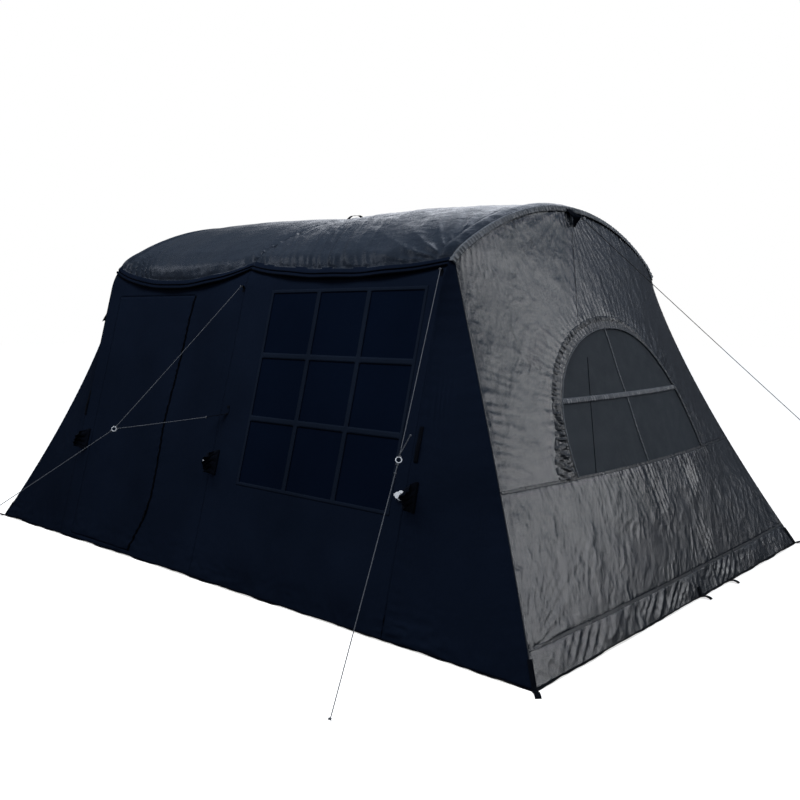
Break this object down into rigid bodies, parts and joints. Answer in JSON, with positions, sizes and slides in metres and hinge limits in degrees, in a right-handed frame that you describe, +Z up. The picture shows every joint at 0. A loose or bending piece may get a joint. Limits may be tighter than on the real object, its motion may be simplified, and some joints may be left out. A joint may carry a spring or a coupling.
{
  "type": "inflatable tent",
  "caption": "Ridge-shaped inflatable tent with air beams, sloping ends, a zipped door leaf, a gridded front window, half-round end windows, covered valves and guy ropes.",
  "frame": {"origin": "middle of the underside of the groundsheet, on the ground, without the guy ropes", "axes": "+X along the tent towards the end whose guy rope is modelled, -Y towards the door, +Z up"},
  "size_m": [5.6796, 4.3785, 2.1616],
  "materials": {
    "wall_cloth": "matte woven polyester, near black with a blue cast",
    "roof_cloth": "coated polyester with a satin sheen",
    "end_cloth": "coated polyester with a satin sheen",
    "ground_cloth": "heavy coated woven sheet",
    "window_film": "dark tinted window film",
    "tape": "woven binding tape",
    "piping": "cord covered with cloth",
    "webbing": "black webbing and stiff cloth",
    "sleeve_cloth": "woven sleeve",
    "bladder_film": "clear flexible film",
    "valve_plastic": "white moulded plastic",
    "zip": "black moulded plastic",
    "rope": "braided cord",
    "black_rope": "braided cord",
    "ring": "satin"
  },
  "bodies": {
    "shell": {"air_bladder_left": "bladder_film", "air_bladder_middle": "bladder_film", "air_bladder_right": "bladder_film", "apex_patch_left": "webbing", "apex_patch_right": "webbing", "back_wall": "wall_cloth", "beam_sleeve_left": "sleeve_cloth", "beam_sleeve_middle": "sleeve_cloth", "beam_sleeve_right": "sleeve_cloth", "corner_panel_back_left": "wall_cloth", "corner_panel_back_right": "wall_cloth", "corner_panel_front_left": "wall_cloth", "corner_panel_front_right": "wall_cloth", "door_zip": "zip", "eave_piping_back": "piping", "eave_piping_front": "piping", "end_wall_lower_left": "end_cloth", "end_wall_lower_right": "end_cloth", "end_wall_upper_left": "end_cloth", "end_wall_upper_right": "end_cloth", "end_window_film_left": "window_film", "end_window_film_right": "window_film", "end_window_tapes_left": "tape", "end_window_tapes_right": "tape", "front_wall_door_bay": "wall_cloth", "front_wall_window_bay": "wall_cloth", "front_window_bars": "tape", "front_window_film": "window_film", "groundsheet": "ground_cloth", "guy_ring_middle": "ring", "guy_ring_right": "ring", "guy_rope_end": "black_rope", "guy_rope_middle_lower": "rope", "guy_rope_middle_main": "rope", "guy_rope_middle_upper": "rope", "guy_rope_right_lower": "rope", "guy_rope_right_upper": "rope", "guy_tab_high_middle": "webbing", "guy_tab_high_right": "webbing", "guy_tab_low_left": "webbing", "guy_tab_low_middle": "webbing", "guy_tab_low_right": "webbing", "ridge_loop": "webbing", "roof_bay_left": "roof_cloth", "roof_bay_right": "roof_cloth", "roof_binding_left": "tape", "roof_binding_middle": "tape", "roof_binding_right": "tape", "valve_body_left": "valve_plastic", "valve_body_middle": "valve_plastic", "valve_body_right": "valve_plastic"},
    "door": {"door_leaf": "wall_cloth"},
    "zip_slider": {"door_zip_slider": "zip"},
    "vent_flap": {"vent_hood": "webbing"},
    "valve_cap_left": {"valve_cap_left": "valve_plastic"},
    "valve_cover_left": {"valve_flap_left": "webbing"},
    "valve_cap_middle": {"valve_cap_middle": "valve_plastic"},
    "valve_cover_middle": {"valve_flap_middle": "webbing"},
    "valve_cap_right": {"valve_cap_right": "valve_plastic"},
    "valve_cover_right": {"valve_flap_right": "webbing"}
  },
  "joints": [
    {"name": "door_hinge", "type": "hinge", "parent": "shell", "child": "door", "pos_m": [-1.34, -1.54114, 0.02975], "axis": [0, -0.2544, -0.9671], "range_deg": [0, 100]},
    {"name": "zip_travel", "type": "slide", "parent": "shell", "child": "zip_slider", "axis": [0.0463, 0.2541, 0.9661], "range_m": [0, 1.325]},
    {"name": "valve_cap_left_hinge", "type": "hinge", "parent": "shell", "child": "valve_cap_left", "pos_m": [-1.48, -1.4018, 0.64529], "axis": [0, -0.2544, -0.9671], "range_deg": [0, 110]},
    {"name": "valve_cover_left_hinge", "type": "hinge", "parent": "shell", "child": "valve_cover_left", "pos_m": [-1.376, -1.38303, 0.64036], "axis": [0, 0.2544, 0.9671], "range_deg": [-20, 45]},
    {"name": "valve_cap_middle_hinge", "type": "hinge", "parent": "shell", "child": "valve_cap_middle", "pos_m": [-0.049, -1.4018, 0.64529], "axis": [0, -0.2544, -0.9671], "range_deg": [0, 110]},
    {"name": "valve_cover_middle_hinge", "type": "hinge", "parent": "shell", "child": "valve_cover_middle", "pos_m": [0.055, -1.38303, 0.64036], "axis": [0, 0.2544, 0.9671], "range_deg": [-20, 45]},
    {"name": "valve_cap_right_hinge", "type": "hinge", "parent": "shell", "child": "valve_cap_right", "pos_m": [1.432, -1.4018, 0.64529], "axis": [0, -0.2544, -0.9671], "range_deg": [0, 110]},
    {"name": "valve_cover_right_hinge", "type": "hinge", "parent": "shell", "child": "valve_cover_right", "pos_m": [1.53625, -1.37322, 0.64038], "axis": [-0.0506, 0.2632, 0.9634], "range_deg": [-20, 45]},
    {"name": "vent_flap_hinge", "type": "hinge", "parent": "shell", "child": "vent_flap", "pos_m": [-1.57799, -0.95562, 1.60104], "axis": [-0.2377, 0.9713, 0], "range_deg": [-12, 40]}
  ]
}
